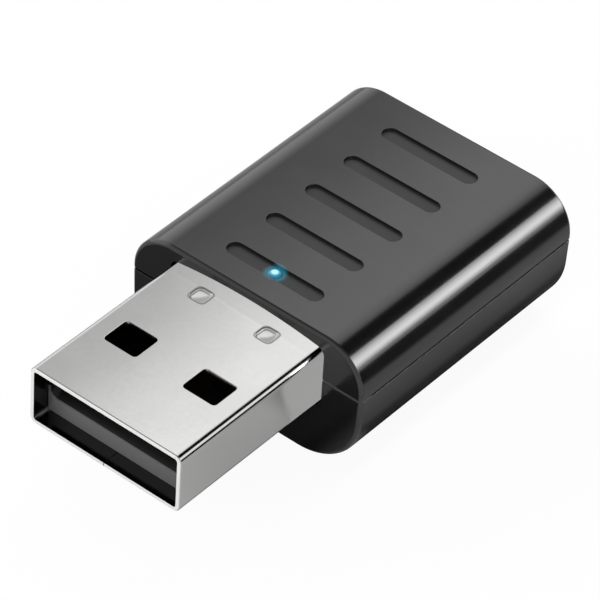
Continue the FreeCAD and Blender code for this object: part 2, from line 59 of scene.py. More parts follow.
# %% [markdown]
# ## Sizes from the frame
# Blender works in metres here and the object is a thumb's breadth wide, so a millimetre gets a
# name. The housing and the plug are read from the CAD boxes, and so a new pack moves these pieces
# with it. Radii and sheet thickness can't be read from a box, so they are named once.

# %% Sizes of the housing
MM = 0.001

upper_low, upper_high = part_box("upper_housing")
half_width = upper_high[0]
housing_front = upper_low[1]
housing_rear = upper_high[1]
housing_top = upper_high[2]
top_radius = 3.15 * MM
bottom_radius = 4.7 * MM
side_draft = math.radians(1.75)
wall = 1.0 * MM
end_wall = 1.2 * MM
end_round = 0.3 * MM
print("housing %.2f x %.2f x %.2f mm"
      % (2 * half_width / MM, (housing_rear - housing_front) / MM, housing_top / MM))

# %% Sizes of the plug
plug_low, plug_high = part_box("usb_shell")
plug_half = plug_high[0]
plug_tip = plug_low[1]
plug_top = plug_high[2]
plug_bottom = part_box("circuit_board")[1][2]
sheet = 0.3 * MM
bend_outside = 0.5 * MM
tube_end = housing_front + 1.4 * MM
split = plug_bottom + 2.1 * MM
print("plug %.2f x %.2f mm, shells meet at %.2f mm"
      % (2 * plug_half / MM, (plug_top - plug_bottom) / MM, split / MM))

# %% [markdown]
# ## A few bench tools
# Moulded and pressed parts are drawn as a section that is pushed along an axis. A rectangle of four
# corners is enough to start: a bevel of its vertices gives exact round corners, and an extrusion
# gives the length. Holes are cut with a boolean, which keeps flat faces flat.

# %% Helper: push a face along an axis
def push(bm, along):
    """Extrude a bmesh's only face into a closed prism and turn its normals outwards."""
    made = bmesh.ops.extrude_face_region(bm, geom=bm.faces[:])
    moved = [item for item in made["geom"] if isinstance(item, bmesh.types.BMVert)]
    bmesh.ops.translate(bm, verts=moved, vec=along)
    bmesh.ops.recalc_face_normals(bm, faces=bm.faces[:])


# %% Helper: round chosen vertices or edges
def round_off(bm, geom, radius, segments, affect="EDGES"):
    """Bevel with an even, circular profile."""
    bmesh.ops.bevel(bm, geom=geom, offset=radius, offset_type="OFFSET", segments=segments,
                    profile=0.5, affect=affect, material=-1, clamp_overlap=True)


# %% Helper: a prism with round corners
def prism(x0, x1, y0, y1, z0, z1, radius, axis, segments=8):
    """Block between two corners whose edges along one axis are round."""
    bm = bmesh.new()
    if axis == "Y":
        corners = [(x0, y0, z0), (x1, y0, z0), (x1, y0, z1), (x0, y0, z1)]
        along = (0, y1 - y0, 0)
    else:
        corners = [(x0, y0, z0), (x1, y0, z0), (x1, y1, z0), (x0, y1, z0)]
        along = (0, 0, z1 - z0)
    bm.faces.new([bm.verts.new(corner) for corner in corners])
    if radius:
        round_off(bm, bm.verts[:], radius, segments, "VERTICES")
    push(bm, along)
    return bm


# %% Helper: from bmesh to object
def to_object(name, bm):
    """Put a bmesh into an object of its own at the origin."""
    mesh = bpy.data.meshes.new(name)
    bm.to_mesh(mesh)
    bm.free()
    piece = bpy.data.objects.new(name, mesh)
    bpy.context.scene.collection.objects.link(piece)
    return piece


# %% Helper: cut or join with booleans
weld = 0.001 * MM


def combine(bm, tools, operation):
    """Apply a list of tool shapes to a bmesh with an exact boolean and give back a bmesh."""
    body = to_object("body_in_work", bm)
    shapes = [to_object("tool_in_work", tool) for tool in tools]
    for shape in shapes:
        step = body.modifiers.new("step", "BOOLEAN")
        step.operation = operation
        step.solver = "EXACT"
        step.object = shape
    worked = body.evaluated_get(bpy.context.evaluated_depsgraph_get())
    result = bpy.data.meshes.new_from_object(worked)
    made = bmesh.new()
    made.from_mesh(result)
    for item in shapes + [body]:
        mesh = item.data
        bpy.data.objects.remove(item)
        bpy.data.meshes.remove(mesh)
    bpy.data.meshes.remove(result)
    bmesh.ops.remove_doubles(made, verts=made.verts[:], dist=weld)
    return made


# %% Helper: a cut down the middle
def cut_in_half(bm):
    """Divide the faces along the plane between left and right."""
    bmesh.ops.bisect_plane(bm, geom=bm.verts[:] + bm.edges[:] + bm.faces[:], dist=0.1 * weld,
                           plane_co=(0, 0, 0), plane_no=(1, 0, 0))


# %% Helpers: pick edges by place
def near(value, place, within=0.004 * MM):
    """True where a coordinate lies at a place."""
    return abs(value - place) < within


def edges_where(bm, test, angle=30):
    """Edges that are folded by more than an angle in degrees and whose two ends pass a test."""
    bm.normal_update()
    return [
        edge for edge in bm.edges
        if len(edge.link_faces) == 2 and edge.calc_face_angle(0) > math.radians(angle)
        and all(test(vert.co) for vert in edge.verts)
    ]


# %% Helper: finish a piece
crease = math.radians(40)


def finish_piece(piece, node, material):
    """Smooth the shading but keep flat faces flat, then tie the piece to the frame."""
    mesh = piece.data
    mesh.polygons.foreach_set("use_smooth", [True] * len(mesh.polygons))
    mesh.set_sharp_from_angle(angle=crease)
    weights = piece.modifiers.new("flat faces stay flat", "WEIGHTED_NORMAL")
    weights.keep_sharp = True
    mesh.materials.append(material)
    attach(piece, "root")
    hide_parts(node)
    print("%-14s %6d faces" % (piece.name, len(mesh.polygons)))


# %% [markdown]
# ## Materials: shared effects
# A material is a small net of nodes. A few helpers keep its description short: they add a node,
# feed an input, do sums and let a value go softly from one level to another.

# %% Helpers: add and feed nodes
def add(tree, kind, **values):
    """Add a node and set the inputs that are named."""
    node = tree.nodes.new(kind)
    for key, value in values.items():
        node.inputs[key.replace("_", " ")].default_value = value
    return node


def feed(socket, value):
    """Link another node's output to an input, or set the input to a number or colour."""
    if isinstance(value, bpy.types.NodeSocket):
        socket.id_data.links.new(value, socket)
    elif value is not None:
        socket.default_value = value


def parts_of(material):
    """A material's tree and its main shader."""
    tree = material.node_tree
    return tree, tree.nodes["Principled BSDF"]


def source_of(shader, name):
    """What feeds an input of the shader so far."""
    return shader.inputs[name].links[0].from_socket


# %% Helpers: places
def place_of(tree, kind="Object"):
    """Place of a point in the piece's own coordinates."""
    return tree.nodes.new("ShaderNodeTexCoord").outputs[kind]


def axes_of(tree, kind="Object"):
    """The three coordinates of a point as separate values."""
    axes = tree.nodes.new("ShaderNodeSeparateXYZ")
    feed(axes.inputs["Vector"], place_of(tree, kind))
    return [axes.outputs[name] for name in "XYZ"]


# %% Helpers: sums
def calculate(tree, operation, first, second=None):
    """One step of arithmetic."""
    node = tree.nodes.new("ShaderNodeMath")
    node.operation = operation
    feed(node.inputs[0], first)
    feed(node.inputs[1], second)
    return node.outputs[0]


def product(tree, *factors):
    """Product of several values."""
    result = factors[0]
    for factor in factors[1:]:
        result = calculate(tree, "MULTIPLY", result, factor)
    return result


def rest(tree, share):
    """What a share leaves of one."""
    return calculate(tree, "SUBTRACT", 1.0, share)


# %% Helpers: soft steps and mixes
def ramp(tree, source, start, end, low=0.0, high=1.0):
    """Value that goes softly from low to high while the source goes from start to end."""
    node = add(tree, "ShaderNodeMapRange", From_Min=start, From_Max=end, To_Min=low, To_Max=high)
    node.interpolation_type = "SMOOTHSTEP"
    feed(node.inputs["Value"], source)
    return node.outputs["Result"]


def ramp_mm(tree, source, start, end, low=0.0, high=1.0):
    """The same, between two places in millimetres."""
    return ramp(tree, source, start * MM, end * MM, low, high)


def blend(tree, amount, first, second, kind="MIX"):
    """Colour between two colours."""
    node = tree.nodes.new("ShaderNodeMix")
    node.data_type = "RGBA"
    node.blend_type = kind
    feed(node.inputs["Factor"], amount)
    feed(node.inputs["A"], first)
    feed(node.inputs["B"], second)
    return node.outputs["Result"]


def either(tree, amount, first, second):
    """One shader, or another where the amount is one."""
    node = tree.nodes.new("ShaderNodeMixShader")
    for socket, value in zip(node.inputs, (amount, first, second)):
        feed(socket, value)
    return node.outputs["Shader"]


# %% [markdown]
# Real plastic and metal are never quite even. Two effects are used again and again, so each is a
# node group with named inputs: a fine grain, as a spark-eroded mould or a rolled sheet leaves it,
# and handling, the faint cloudy change of gloss where fingers have been. A group gives out only
# values that change over the surface. The shader itself stays in each material. Noise seldom leaves
# the band from 0.3 to 0.7, so both groups stretch that band over their whole range.

# %% Helpers: make a group and use it
noise_band = {"From_Min": 0.3, "From_Max": 0.7}


def new_group(name, inputs, outputs):
    """Empty group with sockets for numbers, and the sockets that its nodes link to."""
    group = bpy.data.node_groups.new(name, "ShaderNodeTree")
    for way, sockets in (("INPUT", inputs), ("OUTPUT", outputs)):
        for socket in sockets:
            group.interface.new_socket(socket, in_out=way, socket_type="NodeSocketFloat")
    entry = group.nodes.new("NodeGroupInput")
    leave = group.nodes.new("NodeGroupOutput")
    print("group:", name)
    return group, entry.outputs, leave.inputs


def use_group(tree, group, **values):
    """Place a group in a material with its own values and give back its outputs."""
    node = tree.nodes.new("ShaderNodeGroup")
    node.node_tree = group
    for name, value in values.items():
        node.inputs[name].default_value = value
    return node.outputs


# %% Group: fine grain
def grain_group():
    """Noise at a given size: Height for a bump and Tone around 1 for a colour."""
    group, given, result = new_group("fine grain", ("Size", "Spread"), ("Height", "Tone"))
    noise = add(group, "ShaderNodeTexNoise", Detail=3.0, Roughness=0.6)
    tone = add(group, "ShaderNodeMapRange", **noise_band)
    feed(noise.inputs["Vector"], place_of(group))
    feed(noise.inputs["Scale"], calculate(group, "DIVIDE", 1.0, given["Size"]))
    feed(tone.inputs["Value"], noise.outputs["Fac"])
    feed(tone.inputs["To Min"], rest(group, given["Spread"]))
    feed(tone.inputs["To Max"], calculate(group, "ADD", 1.0, given["Spread"]))
    feed(result["Height"], noise.outputs["Fac"])
    feed(result["Tone"], tone.outputs["Result"])
    return group


grain = grain_group()


# %% Group: handling
cloud_size = 5 * MM


def handling_group():
    """Soft clouds of roughness between two values."""
    group, given, result = new_group("handling", ("Clean", "Handled"), ("Roughness",))
    clouds = add(group, "ShaderNodeTexNoise", Scale=1 / cloud_size, Detail=2.0, Roughness=0.5)
    change = add(group, "ShaderNodeMapRange", **noise_band)
    change.interpolation_type = "SMOOTHSTEP"
    feed(clouds.inputs["Vector"], place_of(group))
    feed(change.inputs["Value"], clouds.outputs["Fac"])
    feed(change.inputs["To Min"], given["Clean"])
    feed(change.inputs["To Max"], given["Handled"])
    feed(result["Roughness"], change.outputs["Result"])
    return group


handling = handling_group()

# %% [markdown]
# Most finishes here differ only in colour, gloss and the size of their grain. One function makes
# such a finish: the tone varies the colour a little, the grain raises a very shallow bump, and the
# handling changes the roughness. Values that are the same everywhere go straight to the shader.

# %% Helper: a finish with grain and handling
def finish(name, colour, rough, grain_mm, tone, bump_mm, metal=0.0, specular=0.5):
    """Material with varied colour, roughness from clean to handled, and a shallow bump."""
    material = bpy.data.materials.new(name)
    material.use_nodes = True
    tree, shader = parts_of(material)
    shader.inputs["Metallic"].default_value = metal
    shader.inputs["Specular IOR Level"].default_value = specular
    fine = use_group(tree, grain, Size=grain_mm * MM, Spread=tone)
    touched = use_group(tree, handling, Clean=rough[0], Handled=rough[1])
    relief = add(tree, "ShaderNodeBump", Strength=1.0, Distance=bump_mm * MM)
    tint = blend(tree, 1.0, (*colour, 1.0), fine["Tone"], "MULTIPLY")
    feed(shader.inputs["Base Color"], tint)
    feed(shader.inputs["Roughness"], touched["Roughness"])
    feed(relief.inputs["Height"], fine["Height"])
    feed(shader.inputs["Normal"], relief.outputs["Normal"])
    print("finish:", name)
    return material


# %% [markdown]
# ## Plastics of the outside
# The housing is black plastic with a satin gloss. The floors of its grooves are eroded more
# coarsely than the rest of the mould, as toolmakers do to hide flow marks, so they mirror less.

# %% Housing plastic
housing_black = finish("housing black", (0.0035, 0.0035, 0.0038), (0.15, 0.19),
                       grain_mm=0.06, tone=0.12, bump_mm=0.0006, specular=1.0)

# %% Sizes of the grooves
groove_count = 5
groove_width = 1.2 * MM
groove_half_length = 3.75 * MM
groove_depth = 0.2 * MM
groove_pitch = 3.8 * MM
groove_floor = housing_top - groove_depth
print("grooves:", groove_count, "with their floor at %.2f mm" % (groove_floor / MM))


# %% Coarse floors of the grooves
extra_roughness = 0.35


def coarse_floors(material, first_row):
    """Rougher surface on the floors of the grooves."""
    tree, shader = parts_of(material)
    x, y, z = axes_of(tree)
    half_grip = (groove_count - 1) * groove_pitch / 2
    end = half_grip + groove_width
    beside = calculate(tree, "ABSOLUTE", x)
    along = calculate(tree, "ABSOLUTE", calculate(tree, "SUBTRACT", y, first_row + half_grip))
    floors = product(
        tree, ramp(tree, z, groove_floor + 0.5 * groove_depth, groove_floor + 0.1 * groove_depth),
        ramp(tree, beside, groove_half_length + 0.3 * MM, groove_half_length + 0.1 * MM),
        ramp(tree, along, end, end - 0.2 * MM))
    extra = product(tree, floors, extra_roughness)
    coarser = calculate(tree, "ADD", source_of(shader, "Roughness"), extra)
    feed(shader.inputs["Roughness"], coarser)


# %% [markdown]
# The tongue is dull, glass-filled plastic. Its front face, which looks out of the mouth, is painted
# paler than the rest as painted light; the rest stays as the mould left it and lies in the tube's
# shade.

# %% Tongue plastic
tongue_grey = finish("tongue plastic", (0.006, 0.006, 0.0065), (0.4, 0.5),
                     grain_mm=0.12, tone=0.12, bump_mm=0.002)
tongue_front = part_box("usb_insulator")[0][1]
front_light_depth = 0.12 * MM
# Painted light: the tongue's front face is painted this paler grey.
front_light_grey = (0.13, 0.13, 0.132, 1)


def paint_front_light(material):
    """Painted light: a paler colour on the first tenth of a millimetre behind the tongue's front.
    """
    tree, shader = parts_of(material)
    along = axes_of(tree)[1]
    front = ramp(tree, along, tongue_front + front_light_depth, tongue_front + front_light_depth / 2)
    tint = blend(tree, front, source_of(shader, "Base Color"), front_light_grey)
    feed(shader.inputs["Base Color"], tint)


paint_front_light(tongue_grey)

# %% [markdown]
# ## Plated steel
# The sheet of the plug has three kinds of surface. Its nickel-plated outside is bright, with fine
# lines along the strip from the rolling mill. The edge that the shears cut at the mouth is matt,
# and it is painted near white as a painted highlight. The inside of the tube is painted dark as
# painted shade. Where each begins is known from the plug's sizes. The lower inner bends are painted
# pale again as a painted highlight, and a ring of painted shade outlines each dimple.

# %% Lines of the rolling mill
mill_scale = (9000, 350, 9000)  # lines about 0.1 mm apart and 3 mm long
mill_height = 0.0002 * MM


def mill_lines(tree, shader):
    """Lines much longer than wide, raised on top of the grain."""
    stretch = add(tree, "ShaderNodeMapping", Scale=mill_scale)
    lines = add(tree, "ShaderNodeTexNoise", Scale=1.0, Detail=2.0, Roughness=0.5)
    relief = add(tree, "ShaderNodeBump", Strength=1.0, Distance=mill_height)
    feed(stretch.inputs["Vector"], place_of(tree))
    feed(lines.inputs["Vector"], stretch.outputs["Vector"])
    feed(relief.inputs["Height"], lines.outputs["Fac"])
    feed(relief.inputs["Normal"], source_of(shader, "Normal"))
    feed(shader.inputs["Normal"], relief.outputs["Normal"])


# %% Where the inside and its lower bends lie
def tube_inside(tree, beside, z):
    """One on the inner half of the sheet's thickness."""
    half_height = (plug_top - plug_bottom) / 2
    above = calculate(tree, "ABSOLUTE", calculate(tree, "SUBTRACT", z, plug_bottom + half_height))
    return product(
        tree, ramp(tree, beside, plug_half - 0.4 * sheet, plug_half - 0.9 * sheet),
        ramp(tree, above, half_height - 0.4 * sheet, half_height - 0.9 * sheet))


def lower_bends(tree, beside, z):
    """One in the tube's two lower inside corners."""
    side = plug_half - sheet
    base = plug_bottom + sheet
    return product(tree, ramp(tree, beside, side - 0.3 * MM, side - 0.08 * MM),
                   ramp(tree, z, base + 0.3 * MM, base + 0.08 * MM))


# %% Where the painted shade rings round the dimples lie
dimple_wide = 1.4 * MM
dimple_apart = 5.3 * MM
dimple_back = 11.8 * MM


def dimple_shade_rings(tree, beside, y):
    """One along a square with round corners about each dimple's edge."""
    across = calculate(tree, "POWER", calculate(tree, "SUBTRACT", beside, dimple_apart / 2), 4)
    along = calculate(tree, "POWER", calculate(tree, "SUBTRACT", y, plug_tip + dimple_back), 4)
    reach = calculate(tree, "POWER", calculate(tree, "ADD", across, along), 0.25)
    return product(tree, ramp(tree, reach, 0.4 * dimple_wide, 0.46 * dimple_wide),
                   ramp(tree, reach, 0.53 * dimple_wide, 0.49 * dimple_wide))


# %% Plated steel
# Painted shade: the inside of the tube is painted this dark.
inside_painted_shade = (0.09, 0.09, 0.088, 1)
# Painted highlight: the lower inner bends are painted this pale.
bend_painted_highlight = (0.6, 0.6, 0.59, 1)
# Painted shade: this darker ring outlines each dimple.
dimple_ring_shade = (0.3, 0.3, 0.297, 1)
# The cut edge is matt, and its near-white colour is a painted highlight.
cut_edge_highlight = (0.86, 0.86, 0.85, 1)
cut_depth = 0.04 * MM
cut_metal = 0.1
cut_roughness = 0.5


def plated_steel():
    """Nickel over rolled sheet, with a matt cut edge painted pale as a highlight and an inside
    painted dark as shade.
    """
    material = finish("plated steel", (0.61, 0.61, 0.605), (0.13, 0.17),
                      grain_mm=0.25, tone=0.02, bump_mm=0.0004)
    tree, shader = parts_of(material)
    mill_lines(tree, shader)
    x, y, z = axes_of(tree)
    beside = calculate(tree, "ABSOLUTE", x)
    cut = ramp(tree, y, plug_tip + cut_depth, plug_tip + cut_depth / 4)
    inner = blend(tree, lower_bends(tree, beside, z), inside_painted_shade, bend_painted_highlight)
    tint = blend(tree, tube_inside(tree, beside, z), source_of(shader, "Base Color"), inner)
    tint = blend(tree, dimple_shade_rings(tree, beside, y), tint, dimple_ring_shade)
    feed(shader.inputs["Base Color"], blend(tree, cut, tint, cut_edge_highlight))
    feed(shader.inputs["Metallic"], ramp(tree, cut, 0, 1, 1.0, cut_metal))
    matt = ramp(tree, cut, 0, 1, 0, cut_roughness)
    matt = calculate(tree, "MAXIMUM", source_of(shader, "Roughness"), matt)
    feed(shader.inputs["Roughness"], matt)
    return material


steel = plated_steel()

# %% [markdown]
# ## The lit window and its glow
# The light's window glows: cyan-blue at its rim and nearly white in its middle, because the lamp
# under it is brightest on the axis. The plastic round it also shows some of the light, so the
# housing gets a weak emission that fades with the distance from the window.

# %% Place of the window
window_low, window_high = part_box("light_pipe")
window_x = (window_low[0] + window_high[0]) / 2
window_y = (window_low[1] + window_high[1]) / 2
window_radius = 0.5 * MM
print("window at %.2f mm, %.2f mm" % (window_x / MM, window_y / MM))


def distance_from_axis(tree):
    """Distance of a point from the window's upright axis, in millimetres."""
    centre = add(tree, "ShaderNodeMapping", Location=(-window_x / MM, -window_y / MM, 0),
                 Scale=(1 / MM, 1 / MM, 0))
    length = tree.nodes.new("ShaderNodeVectorMath")
    length.operation = "LENGTH"
    feed(centre.inputs["Vector"], place_of(tree))
    feed(length.inputs[0], centre.outputs["Vector"])
    return length.outputs["Value"]


# %% Lit window
def lit_window():
    """Clear plastic lit from below."""
    material = finish("lit window", (0.03, 0.1, 0.13), (0.2, 0.3),
                      grain_mm=0.1, tone=0.03, bump_mm=0.001)
    tree, shader = parts_of(material)
    light = tree.nodes.new("ShaderNodeValToRGB")
    tones = light.color_ramp.elements
    tones[0].position = 0.18
    tones[0].color = (0.5, 0.95, 1.0, 1)
    tones[1].position = 0.44
    tones[1].color = (0.0, 0.1, 0.17, 1)
    tones.new(0.28).color = (0.06, 0.3, 0.42, 1)
    feed(light.inputs["Fac"], distance_from_axis(tree))
    feed(shader.inputs["Emission Color"], light.outputs["Color"])
    shader.inputs["Emission Strength"].default_value = 0.9
    return material


window_clear = lit_window()


# %% Glow round the window
def add_glow(material, start_mm, end_mm, strength, colour):
    """Weak light on the top face that fades with the distance from the window."""
    tree, shader = parts_of(material)
    height = axes_of(tree)[2]
    fade = product(tree, ramp(tree, distance_from_axis(tree), start_mm, end_mm, 1.0, 0.0),
                   ramp(tree, height, groove_floor - 0.2 * MM, groove_floor - 0.1 * MM))
    feed(shader.inputs["Emission Color"], blend(tree, fade, (0, 0, 0, 1), (*colour, 1)))
    shader.inputs["Emission Strength"].default_value = strength


add_glow(housing_black, start_mm=0.45, end_mm=0.9, strength=0.4, colour=(0.02, 0.36, 0.52))
coarse_floors(housing_black, window_y)

# %% [markdown]
# Polished steel would show the black front wall as a hard dark patch. The plug in the photograph
# shows none, as if a card had been held there, so the wall is pale where the plug mirrors it: more
# so on the right above the plug, and less beside it.


# %% Pale wall in mirrors
def pale_in_mirrors(material):
    """Front wall that looks pale to glossy rays, so that the plug mirrors no dark wall."""
    tree, shader = parts_of(material)
    x, y, z = axes_of(tree)
    front_wall = ramp(tree, y, housing_front + end_wall, housing_front + 0.9 * end_wall)
    over_plug = product(
        tree, ramp(tree, z, plug_top - 0.1 * MM, plug_top), ramp_mm(tree, x, -8, 7, 0.64, 1.28),
        ramp(tree, x, plug_half - 0.3 * MM, plug_half - 0.4 * MM))
    beside_plug = product(
        tree, ramp(tree, z, plug_top - 0.1 * MM, plug_top - 0.3 * MM, 0.0, 0.53),
        ramp(tree, x, plug_half - 0.3 * MM, plug_half - 0.2 * MM))
    painted_patch = add(tree, "ShaderNodeEmission", Color=(1, 1, 1, 1))
    feed(painted_patch.inputs["Strength"], calculate(tree, "ADD", over_plug, beside_plug))
    rays = tree.nodes.new("ShaderNodeLightPath")
    mirrored = product(tree, rays.outputs["Is Glossy Ray"], front_wall)
    shown = either(tree, mirrored, shader.outputs["BSDF"], painted_patch.outputs["Emission"])
    feed(tree.nodes["Material Output"].inputs["Surface"], shown)


pale_in_mirrors(housing_black)
print("nodes of the housing's plastic:", len(housing_black.node_tree.nodes))

# %% [markdown]
# ## The housing's two shells
# Both shells have a section with two square corners at the parting plane and two round ones, small
# above and large below. The lower section narrows downwards, because moulded sides need draft. A
# section is pushed to the housing's length. Then both ends get the radius of the mould's edges, and
# the parting edge gets the small bevel and the hair of air that make the joint a fine dark line.

# %% Outer and inner form of a shell
line_gap = 0.045 * MM


def half_form(above, inset=0.0, end_inset=0.0, past=0.0, arc=20):
    """Closed form of one shell, drawn in by a wall, run on past the parting plane where it cuts."""
    bm = bmesh.new()
    half = half_width - inset
    if above:
        level, reach, radius = housing_top - inset, half, top_radius - inset
        start = split + line_gap - past
    else:
        level, radius = inset, bottom_radius - inset
        reach = half - (split - level) * math.tan(side_draft)
        # A bevel is measured along the sides, and this corner is wider than a square one.
        radius /= math.tan((math.pi / 2 + side_draft) / 2)
        start = split - line_gap + past
    y0 = housing_front + end_inset
    y1 = housing_rear - end_inset
    ring = [(-half, start), (half, start), (reach, level), (-reach, level)]
    verts = [bm.verts.new((x, y0, z)) for x, z in ring]
    bm.faces.new(verts)
    round_off(bm, verts[2:], radius, arc, "VERTICES")
    push(bm, (0, y1 - y0, 0))
    return bm


def room_form(above):
    """Inner form that hollows a shell."""
    return half_form(above, inset=wall, end_inset=end_wall, past=wall, arc=12)


# %% [markdown]
# A cut down the middle leaves no face with a hole in it, so that the grooves and the opening come
# out clean.

# %% Solid of a shell before it is hollowed
line_bevel = 0.09 * MM


def in_line(edge):
    """True for an edge on the side of a shell that faces the parting plane."""
    return all(near(abs(vert.co.z - split), line_gap) for vert in edge.verts)


def shell_block(above):
    """Outer form with round ends and a bevelled parting edge."""
    bm = half_form(above)
    rims = [edge for edge in bm.edges
            if near(edge.verts[0].co.y, edge.verts[1].co.y) and not in_line(edge)]
    round_off(bm, rims, end_round, 6)
    line = [edge for edge in bm.edges if in_line(edge)]
    round_off(bm, line, line_bevel, 2)
    cut_in_half(bm)
    print("shell block:", len(bm.faces), "faces, parting edges", len(line))
    return bm


# %% [markdown]
# The plug's opening is a little larger than the plug and its upper edge is slightly arched. The
# dark line round the plug in the photograph is this gap.

# %% Opening for the plug
plug_gap = 0.15 * MM
arch_rise = 0.4 * MM
lip_round = 0.05 * MM


def opening_form():
    """Prism that cuts the opening, with an arched upper edge."""
    half = plug_half + plug_gap
    top = plug_top + plug_gap
    corner = bend_outside + plug_gap
    bm = prism(-half, half, housing_front - wall, tube_end + 0.05 * MM,
               plug_bottom - plug_gap, top, corner, "Y")
    cut_in_half(bm)
    upper = [edge for edge in bm.edges if all(near(vert.co.z, top) for vert in edge.verts)
             and not near(edge.verts[0].co.x, edge.verts[1].co.x)]
    bmesh.ops.subdivide_edges(bm, edges=upper, cuts=7, use_grid_fill=False)
    flat = half - corner
    for vert in bm.verts:
        if near(vert.co.z, top) and abs(vert.co.x) < flat:
            vert.co.z += arch_rise * (1 - (vert.co.x / flat) ** 2)
    return bm


def round_lip(bm):
    """Small radius on the opening's edge in the front face."""
    round_off(bm, edges_where(bm, lambda co: near(co.y, housing_front)), lip_round, 2)


# %% [markdown]
# The grip is a row of plain round-ended grooves. Each is cut as a prism and then its upper rim and
# its floor's edge are rounded, because a mould has no knife edges there and the light runs along
# them.

# %% Grooves and window hole
hole_gap = 0.03 * MM
round_steps = 40


def groove_form(y):
    """Cutter of one groove."""
    half = groove_width / 2
    return prism(-groove_half_length, groove_half_length, y - half, y + half,
                 groove_floor, housing_top + wall, 0.98 * half, "Z", 12)


def hole_form():
    """Upright round bar that cuts the hole for the window."""
    bm = bmesh.new()
    start = Matrix.Translation((window_x, window_y, split))
    bmesh.ops.create_circle(bm, cap_ends=True, radius=window_radius + hole_gap,
                            segments=round_steps, matrix=start)
    push(bm, (0, 0, housing_top + wall - split))
    return bm


# %% Upper shell
groove_rim_round = 0.03 * MM
groove_foot_round = 0.025 * MM


def in_grip(co, height):
    """True at a height within the length of the grooves."""
    return near(co.z, height) and abs(co.x) < groove_half_length + 0.01 * MM


def beside_hole(co):
    """True outside the rim of the window's hole."""
    return math.hypot(co.x - window_x, co.y - window_y) > 1.05 * window_radius + hole_gap


def upper_shell():
    """Roof with its grooves, window hole and the upper part of the opening."""
    grooves = [groove_form(window_y + row * groove_pitch) for row in range(groove_count)]
    cutters = [room_form(True), opening_form()] + grooves + [hole_form()]
    bm = combine(shell_block(True), cutters, "DIFFERENCE")
    rim = edges_where(bm, lambda co: in_grip(co, housing_top))
    round_off(bm, rim, groove_rim_round, 2)
    foot = edges_where(bm, lambda co: in_grip(co, groove_floor) and beside_hole(co))
    round_off(bm, foot, groove_foot_round, 2)
    round_lip(bm)
    return to_object("upper_shell", bm)


finish_piece(upper_shell(), "upper_housing", housing_black)


# %% Lower shell
def lower_shell():
    """Floor, sides and the lower part of the opening."""
    bm = combine(shell_block(False), [room_form(False), opening_form()], "DIFFERENCE")
    round_lip(bm)
    return to_object("lower_shell", bm)


finish_piece(lower_shell(), "lower_housing", housing_black)

# %% [markdown]
# ## The plug's folded shell
# The shell is one strip of steel, folded round until its edges meet on the underside. It is drawn
# as an outer prism less an inner one, so the sheet has its real thickness in the mouth and in the
# latch windows, where a socket's springs catch. The dimples are pressed in from above: a tapered
# pad is cut out of the top and the same pad, moved down by the sheet, stays standing inside.

# %% Latch windows
latch_wide = 2.6 * MM
latch_long = 2.2 * MM
latch_apart = 6.3 * MM
latch_back = 5.9 * MM
latch_corner = 0.25 * MM


def latch_forms():
    """Prisms through both wide faces."""
    y = plug_tip + latch_back
    forms = []
    for side in (-1, 1):
        x = side * latch_apart / 2
        forms.append(prism(x - latch_wide / 2, x + latch_wide / 2,
                           y - latch_long / 2, y + latch_long / 2,
                           plug_bottom - wall, plug_top + wall, latch_corner, "Z", 5))
    return forms


def at_latch(co):
    """True on the edge of a latch window in the top face."""
    beside = abs(abs(co.x) - latch_apart / 2)
    along = abs(co.y - plug_tip - latch_back)
    return near(co.z, plug_top) and beside < 0.51 * latch_wide and along < 0.51 * latch_long


# %% Dimples
dimple_deep = 0.15 * MM
dimple_taper = 0.18 * MM
dimple_corner = 0.4 * MM
dimple_places = [side * dimple_apart / 2 for side in (-1, 1)]


def dimple_forms(top):
    """Pads that narrow downwards, with round corners."""
    y = plug_tip + dimple_back
    half = dimple_wide / 2
    shrink = 1 - dimple_taper / half
    forms = []
    for x in dimple_places:
        bm = prism(x - half, x + half, y - half, y + half, top - dimple_deep, top + sheet,
                   dimple_corner, "Z", 6)
        low = [vert for vert in bm.verts if near(vert.co.z, top - dimple_deep)]
        bmesh.ops.scale(bm, verts=low, vec=(shrink, shrink, 1),
                        space=Matrix.Translation((-x, -y, 0)))
        forms.append(bm)
    return forms


def in_dimple(co, height):
    """True at a height on a dimple."""
    beside = min(abs(co.x - x) for x in dimple_places)
    along = abs(co.y - plug_tip - dimple_back)
    return near(co.z, height) and beside < dimple_wide and along < dimple_wide


# %% [markdown]
# The slit where the strip's edges meet is only as wide as a hair. Half-way back it steps round a
# dovetail, which locks the two edges together. The line is a chain of edges, given a width by
# narrow boxes.

# %% Slit with its dovetail
slit = 0.06 * MM
key_back = 8.6 * MM
key_neck = 1.6 * MM
key_deep = 1.1 * MM
key_flare = 0.35 * MM


def slit_forms():
    """Narrow boxes along the seam's line."""
    y = plug_tip + key_back
    neck = key_neck / 2
    line = [(0, plug_tip - wall), (0, y - neck), (key_deep, y - neck - key_flare),
            (key_deep, y + neck + key_flare), (0, y + neck), (0, tube_end + wall)]
    forms = []
    for start, end in zip(line, line[1:]):
        run = Vector(end) - Vector(start)
        bm = prism(-slit / 2, run.length + slit / 2, -slit / 2, slit / 2,
                   plug_bottom - sheet, plug_bottom + 2 * sheet, 0, "Z")
        turn = Matrix.Rotation(math.atan2(run.y, run.x), 4, "Z")
        bmesh.ops.transform(bm, matrix=Matrix.Translation((*start, 0)) @ turn, verts=bm.verts[:])
        forms.append(bm)
    return forms


# %% Ears and legs behind the tube
ear_end = plug_high[1]
leg_wide = 1.6 * MM
overlap = 0.01 * MM


def ear_forms():
    """Side walls that run on behind the tube, and the legs that pass through the board."""
    forms = []
    for side in (-1, 1):
        x0, x1 = sorted((side * plug_half, side * (plug_half - sheet)))
        forms.append(prism(x0, x1, tube_end - overlap, ear_end, plug_bottom + bend_outside,
                           plug_top - bend_outside, 0, "Z"))
        forms.append(prism(x0, x1, ear_end - leg_wide, ear_end, plug_low[2],
                           plug_bottom + bend_outside + overlap, 0, "Z"))
    return forms


# %% Folded tube
mouth_round = 0.1 * MM


